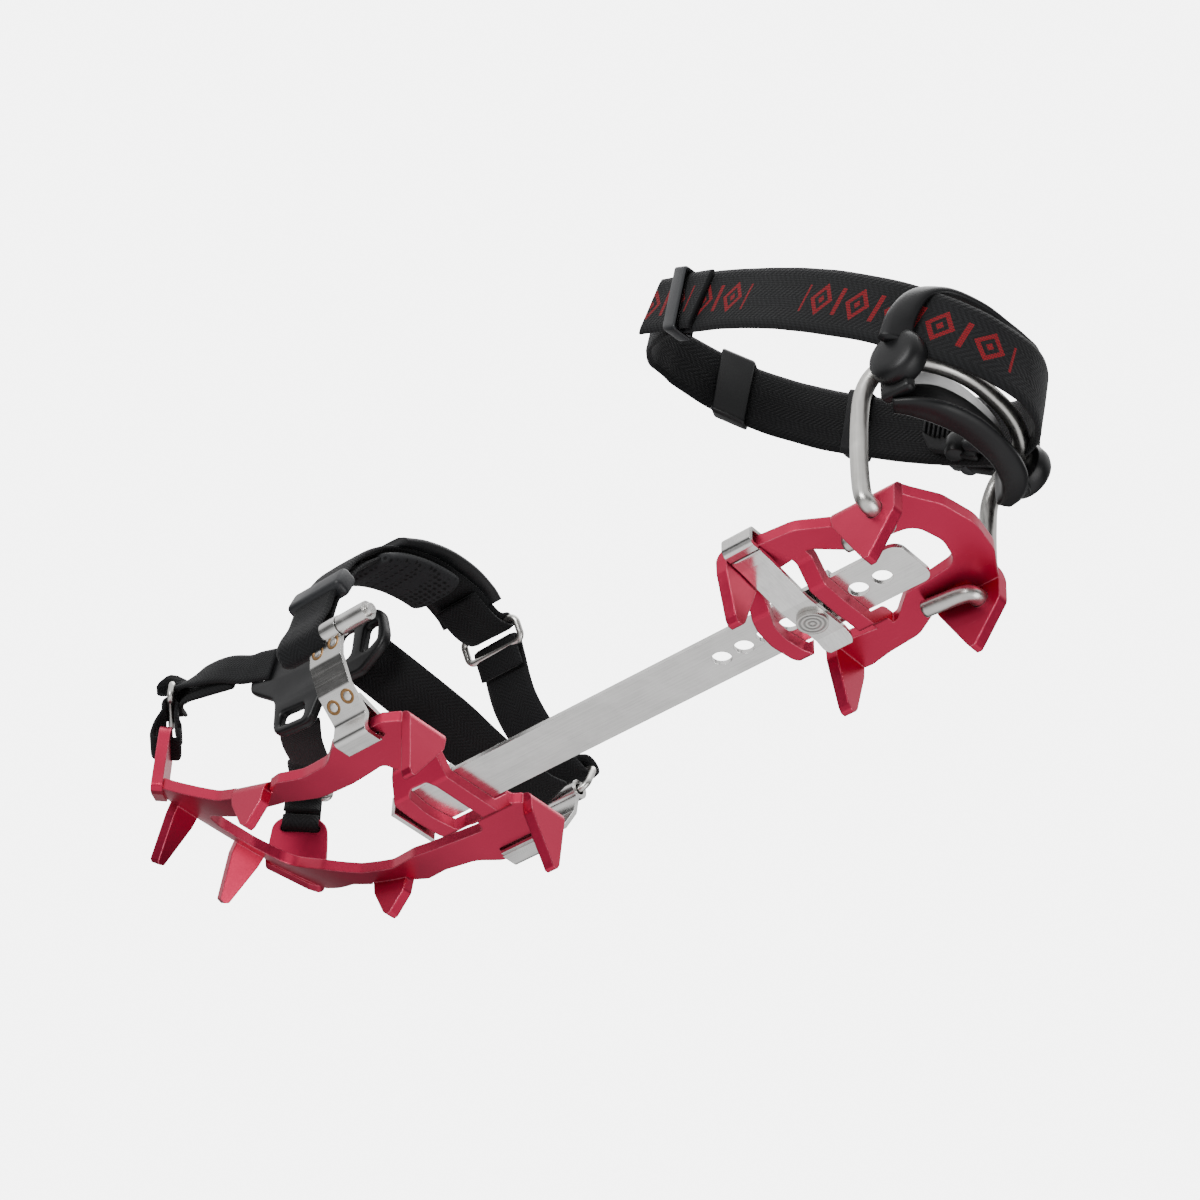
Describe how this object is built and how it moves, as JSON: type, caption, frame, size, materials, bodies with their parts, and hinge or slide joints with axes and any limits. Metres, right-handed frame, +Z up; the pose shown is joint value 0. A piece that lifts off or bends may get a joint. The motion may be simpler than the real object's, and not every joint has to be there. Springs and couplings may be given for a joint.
{
  "type": "strap-on hiking crampon",
  "caption": "Strap-on hiking crampon: red toe and heel spike frames joined by an adjustable steel bar, with a heel wire bail, ankle strap and a toe strap harness.",
  "frame": {"origin": "bottom centre of the whole crampon's box: on the ground plane the spike tips stand on, midway along and across", "axes": "+X runs from the toe to the heel, +Y across the boot to the buckle side, +Z up from the spike tips to the straps"},
  "size_m": [0.3686, 0.1254, 0.1783],
  "materials": {
    "red_anodised": "satin red anodised",
    "steel": "brushed stainless",
    "webbing": "woven nylon",
    "soft_rubber": "matte moulded rubber",
    "black_plastic": "moulded, lightly grained"
  },
  "bodies": {
    "toe_assembly": {"toe_frame": "red_anodised", "extension_bar": "steel", "toe_bar_keeper": "steel", "near_front_strap": "webbing", "near_post_loop": "webbing", "far_post_loop": "webbing", "far_front_ring": "steel", "near_front_ring": "steel", "far_front_strap": "webbing", "harness_hub": "black_plastic", "instep_strap": "webbing", "instep_pad": "soft_rubber", "instep_keeper": "soft_rubber", "slide_ring": "steel", "far_strap": "webbing", "cross_strap": "webbing", "near_link": "steel", "far_link": "steel", "near_lock_bar": "steel", "lock_roller": "steel", "far_ring": "steel"},
    "heel_assembly": {"heel_frame": "red_anodised", "heel_bar_keeper": "steel", "latch_clip": "steel", "latch_rivets": "steel"},
    "bar_latch": {"latch_leaf": "steel", "latch_pin": "steel"},
    "bail_and_strap": {"heel_bail": "steel", "heel_cradle": "black_plastic", "cradle_rim": "black_plastic", "ankle_strap": "webbing", "strap_tail": "webbing", "strap_keeper": "black_plastic", "strap_slide": "black_plastic", "elastic_keeper": "black_plastic", "buckle_body": "black_plastic", "buckle_axle": "steel"},
    "buckle_cam": {"buckle_lever": "black_plastic"}
  },
  "joints": [
    {"name": "heel_adjust", "type": "slide", "parent": "toe_assembly", "child": "heel_assembly", "axis": [1, 0, 0], "range_m": [-0.03508, 0.01754]},
    {"name": "latch_hinge", "type": "hinge", "parent": "heel_assembly", "child": "bar_latch", "pos_m": [0.09669, -0.03207, 0.01955], "axis": [-1, 0, 0], "range_deg": [0, 20], "stiffness_Nm_per_rad": 0.25, "springref_deg": -6.88},
    {"name": "bail_hinge", "type": "hinge", "parent": "heel_assembly", "child": "bail_and_strap", "pos_m": [0.14083, -0.00082, 0.0159], "axis": [0, 1, 0], "range_deg": [-18, 0]},
    {"name": "buckle_cam_hinge", "type": "hinge", "parent": "bail_and_strap", "child": "buckle_cam", "pos_m": [0.13204, 0.03997, 0.0965], "axis": [0.2, 0, 0.9798], "range_deg": [0, 60]}
  ]
}
